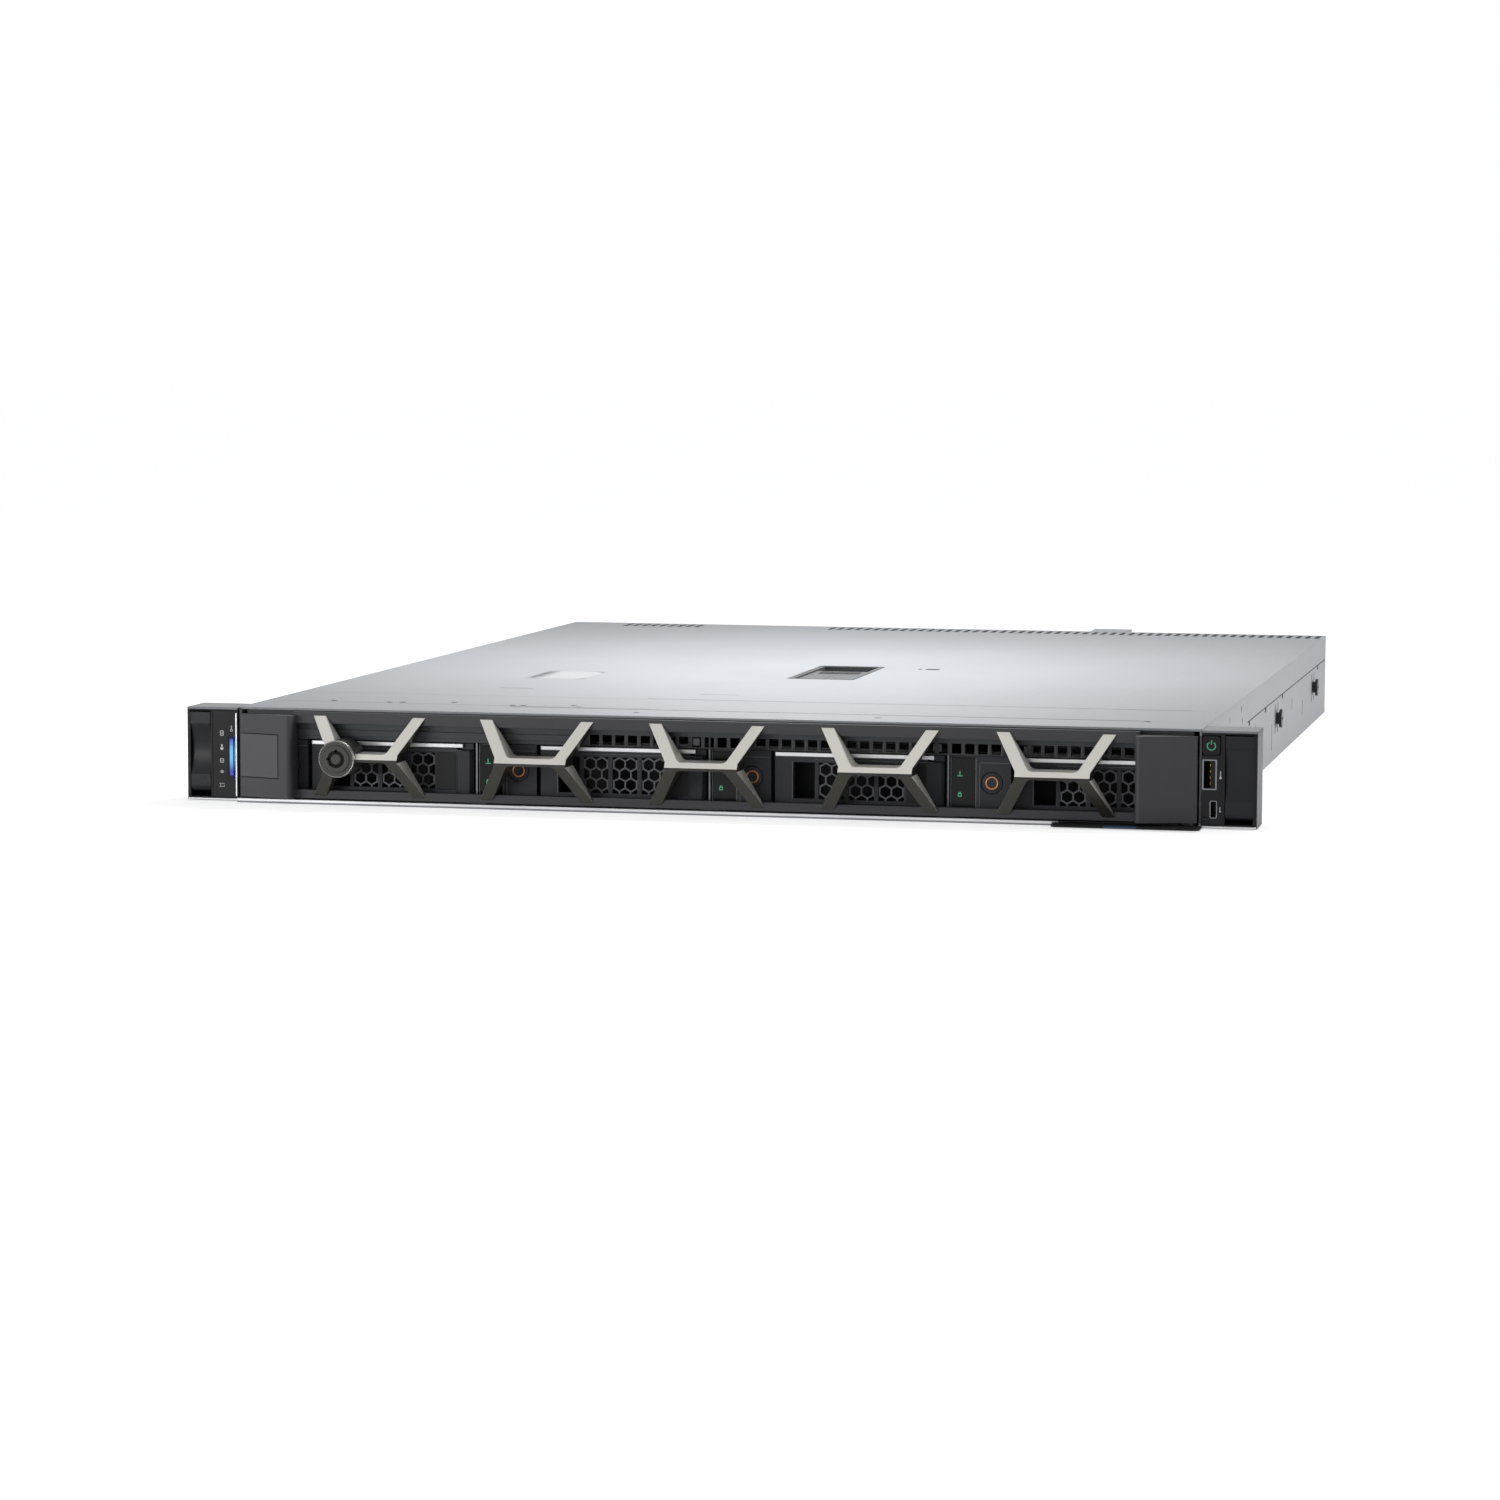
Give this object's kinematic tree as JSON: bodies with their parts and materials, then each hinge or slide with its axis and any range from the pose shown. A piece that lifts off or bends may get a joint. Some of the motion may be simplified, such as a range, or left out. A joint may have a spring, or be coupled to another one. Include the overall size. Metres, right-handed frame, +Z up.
{
  "type": "1u rack server",
  "caption": "Low rack server with a removable ribbed front bezel, slide-out drive carriers, rack ears with latches and a lift-off top cover.",
  "frame": {"origin": "middle of the chassis underside, under the rear face of the rack ears", "axes": "+X to the right seen from the front, +Y to the rear, +Z up"},
  "size_m": [0.482, 0.6229, 0.0428],
  "materials": {
    "galvanised_steel": "satin galvanised sheet",
    "ear_steel": "dark satin with bare edges",
    "dark_plastic": "fine moulded grain",
    "rib_metallic": "warm metallic satin",
    "lock_metal": "dark satin",
    "steel_pins": "turned",
    "button_plastic": "semi gloss",
    "socket_metal": "plated",
    "carrier_plastic": "fine moulded grain",
    "disk_aluminium": "cast",
    "board_green": "solder mask",
    "processor_metal": "plated lid",
    "heat_sink_aluminium": "bare",
    "black_plastic": "moulded",
    "latch_plate": "moulded",
    "psu_metal": "folded sheet"
  },
  "bodies": {
    "chassis": {"chassis_tray": "galvanised_steel", "front_top_panel": "galvanised_steel", "drive_cage": "galvanised_steel", "left_ear_housing": "ear_steel", "right_ear_housing": "ear_steel", "latch_pins": "steel_pins", "rack_screws": "steel_pins", "left_control_panel": "dark_plastic", "right_control_panel": "dark_plastic", "panel_sockets": "socket_metal", "tag_holder": "dark_plastic", "backplane": "board_green", "fan_housings": "black_plastic", "motherboard": "board_green", "processor": "processor_metal", "heat_sink": "heat_sink_aluminium", "memory_sockets": "black_plastic", "memory_modules": "board_green", "air_shroud": "black_plastic", "psu_case": "psu_metal", "power_inlet": "black_plastic", "rear_ports": "socket_metal", "slot_covers": "galvanised_steel", "riser_card": "board_green", "rear_tab": "galvanised_steel", "side_studs": "galvanised_steel"},
    "bezel": {"bezel_frame": "dark_plastic", "bezel_ribs": "rib_metallic", "lock_housing": "lock_metal"},
    "bezel_release": {"bezel_release_button": "dark_plastic"},
    "lock": {"lock_cylinder": "lock_metal"},
    "left_latch": {"left_latch": "dark_plastic"},
    "right_latch": {"right_latch": "dark_plastic"},
    "id_button": {"id_button": "button_plastic"},
    "power_button": {"power_button": "button_plastic"},
    "tag": {"info_tag": "dark_plastic"},
    "cover": {"top_cover": "galvanised_steel", "cover_latch_base": "latch_plate"},
    "cover_latch": {"cover_latch_lever": "latch_plate"},
    "psu_fan": {"psu_fan_rotor": "black_plastic"},
    "carrier_1": {"drive_carrier_1": "carrier_plastic", "hard_disk_1": "disk_aluminium"},
    "handle_1": {"carrier_handle_1": "carrier_plastic"},
    "release_1": {"carrier_button_1": "carrier_plastic"},
    "fan_1": {"fan_rotor_1": "black_plastic"},
    "carrier_2": {"drive_carrier_2": "carrier_plastic", "hard_disk_2": "disk_aluminium"},
    "handle_2": {"carrier_handle_2": "carrier_plastic"},
    "release_2": {"carrier_button_2": "carrier_plastic"},
    "fan_2": {"fan_rotor_2": "black_plastic"},
    "carrier_3": {"drive_carrier_3": "carrier_plastic", "hard_disk_3": "disk_aluminium"},
    "handle_3": {"carrier_handle_3": "carrier_plastic"},
    "release_3": {"carrier_button_3": "carrier_plastic"},
    "fan_3": {"fan_rotor_3": "black_plastic"},
    "carrier_4": {"drive_carrier_4": "carrier_plastic", "hard_disk_4": "disk_aluminium"},
    "handle_4": {"carrier_handle_4": "carrier_plastic"},
    "release_4": {"carrier_button_4": "carrier_plastic"},
    "fan_4": {"fan_rotor_4": "black_plastic"}
  },
  "joints": [
    {"name": "bezel_pull_off", "type": "slide", "parent": "chassis", "child": "bezel", "axis": [0, -1, 0], "range_m": [0, 0.45]},
    {"name": "bezel_release_press", "type": "slide", "parent": "bezel", "child": "bezel_release", "axis": [0, 1, 0], "range_m": [0, 0.0008], "stiffness_N_per_m": 500},
    {"name": "lock_turn", "type": "hinge", "parent": "bezel", "child": "lock", "pos_m": [-0.1658, -0.03, 0.022], "axis": [0, 1, 0], "range_deg": [0, 90]},
    {"name": "left_latch_pull", "type": "hinge", "parent": "chassis", "child": "left_latch", "pos_m": [-0.2345, -0.019, 0.007], "axis": [1, 0, 0], "range_deg": [0, 25], "stiffness_Nm_per_rad": 0.3},
    {"name": "right_latch_pull", "type": "hinge", "parent": "chassis", "child": "right_latch", "pos_m": [0.2345, -0.019, 0.007], "axis": [1, 0, 0], "range_deg": [0, 25], "stiffness_Nm_per_rad": 0.3},
    {"name": "id_press", "type": "slide", "parent": "chassis", "child": "id_button", "axis": [0, 1, 0], "range_m": [0, 0.0005], "stiffness_N_per_m": 500},
    {"name": "power_press", "type": "slide", "parent": "chassis", "child": "power_button", "axis": [0, 1, 0], "range_m": [0, 0.001], "stiffness_N_per_m": 500},
    {"name": "tag_slide_out", "type": "slide", "parent": "chassis", "child": "tag", "axis": [0, -1, 0], "range_m": [0, 0.06]},
    {"name": "cover_lift_off", "type": "slide", "parent": "chassis", "child": "cover", "axis": [0, 0, 1], "range_m": [0, 0.06]},
    {"name": "cover_latch_raise", "type": "hinge", "parent": "cover", "child": "cover_latch", "pos_m": [0.0045, 0.205, 0.04], "axis": [1, 0, 0], "range_deg": [0, 85]},
    {"name": "psu_fan_spin", "type": "hinge", "parent": "chassis", "child": "psu_fan", "pos_m": [-0.1535, 0.55, 0.0205], "axis": [0, 1, 0], "continuous": true},
    {"name": "carrier_1_slide", "type": "slide", "parent": "chassis", "child": "carrier_1", "axis": [0, -1, 0], "range_m": [0, 0.18]},
    {"name": "handle_1_open", "type": "hinge", "parent": "carrier_1", "child": "handle_1", "pos_m": [-0.111, -0.0152, 0.0155], "axis": [0, 0, 1], "range_deg": [0, 70]},
    {"name": "release_1_press", "type": "slide", "parent": "carrier_1", "child": "release_1", "axis": [0, 1, 0], "range_m": [0, 0.0015], "stiffness_N_per_m": 500},
    {"name": "fan_1_spin", "type": "hinge", "parent": "chassis", "child": "fan_1", "pos_m": [-0.033, 0.18, 0.021], "axis": [0, 1, 0], "continuous": true},
    {"name": "carrier_2_slide", "type": "slide", "parent": "chassis", "child": "carrier_2", "axis": [0, -1, 0], "range_m": [0, 0.18]},
    {"name": "handle_2_open", "type": "hinge", "parent": "carrier_2", "child": "handle_2", "pos_m": [-0.0045, -0.0152, 0.0155], "axis": [0, 0, 1], "range_deg": [0, 70]},
    {"name": "release_2_press", "type": "slide", "parent": "carrier_2", "child": "release_2", "axis": [0, 1, 0], "range_m": [0, 0.0015], "stiffness_N_per_m": 500},
    {"name": "fan_2_spin", "type": "hinge", "parent": "chassis", "child": "fan_2", "pos_m": [0.013, 0.18, 0.021], "axis": [0, 1, 0], "continuous": true},
    {"name": "carrier_3_slide", "type": "slide", "parent": "chassis", "child": "carrier_3", "axis": [0, -1, 0], "range_m": [0, 0.18]},
    {"name": "handle_3_open", "type": "hinge", "parent": "carrier_3", "child": "handle_3", "pos_m": [0.102, -0.0152, 0.0155], "axis": [0, 0, 1], "range_deg": [0, 70]},
    {"name": "release_3_press", "type": "slide", "parent": "carrier_3", "child": "release_3", "axis": [0, 1, 0], "range_m": [0, 0.0015], "stiffness_N_per_m": 500},
    {"name": "fan_3_spin", "type": "hinge", "parent": "chassis", "child": "fan_3", "pos_m": [0.059, 0.18, 0.021], "axis": [0, 1, 0], "continuous": true},
    {"name": "carrier_4_slide", "type": "slide", "parent": "chassis", "child": "carrier_4", "axis": [0, -1, 0], "range_m": [0, 0.18]},
    {"name": "handle_4_open", "type": "hinge", "parent": "carrier_4", "child": "handle_4", "pos_m": [0.2085, -0.0152, 0.0155], "axis": [0, 0, 1], "range_deg": [0, 70]},
    {"name": "release_4_press", "type": "slide", "parent": "carrier_4", "child": "release_4", "axis": [0, 1, 0], "range_m": [0, 0.0015], "stiffness_N_per_m": 500},
    {"name": "fan_4_spin", "type": "hinge", "parent": "chassis", "child": "fan_4", "pos_m": [0.105, 0.18, 0.021], "axis": [0, 1, 0], "continuous": true}
  ],
  "couplings": [
    {"joint": "carrier_1_slide", "follows": "bezel_pull_off", "ratio": 0.4},
    {"joint": "handle_1_open", "follows": "bezel_pull_off", "rad_per_m": 2.7},
    {"joint": "carrier_2_slide", "follows": "bezel_pull_off", "ratio": 0.4},
    {"joint": "handle_2_open", "follows": "bezel_pull_off", "rad_per_m": 2.7},
    {"joint": "carrier_3_slide", "follows": "bezel_pull_off", "ratio": 0.4},
    {"joint": "handle_3_open", "follows": "bezel_pull_off", "rad_per_m": 2.7},
    {"joint": "carrier_4_slide", "follows": "bezel_pull_off", "ratio": 0.4},
    {"joint": "handle_4_open", "follows": "bezel_pull_off", "rad_per_m": 2.7}
  ]
}
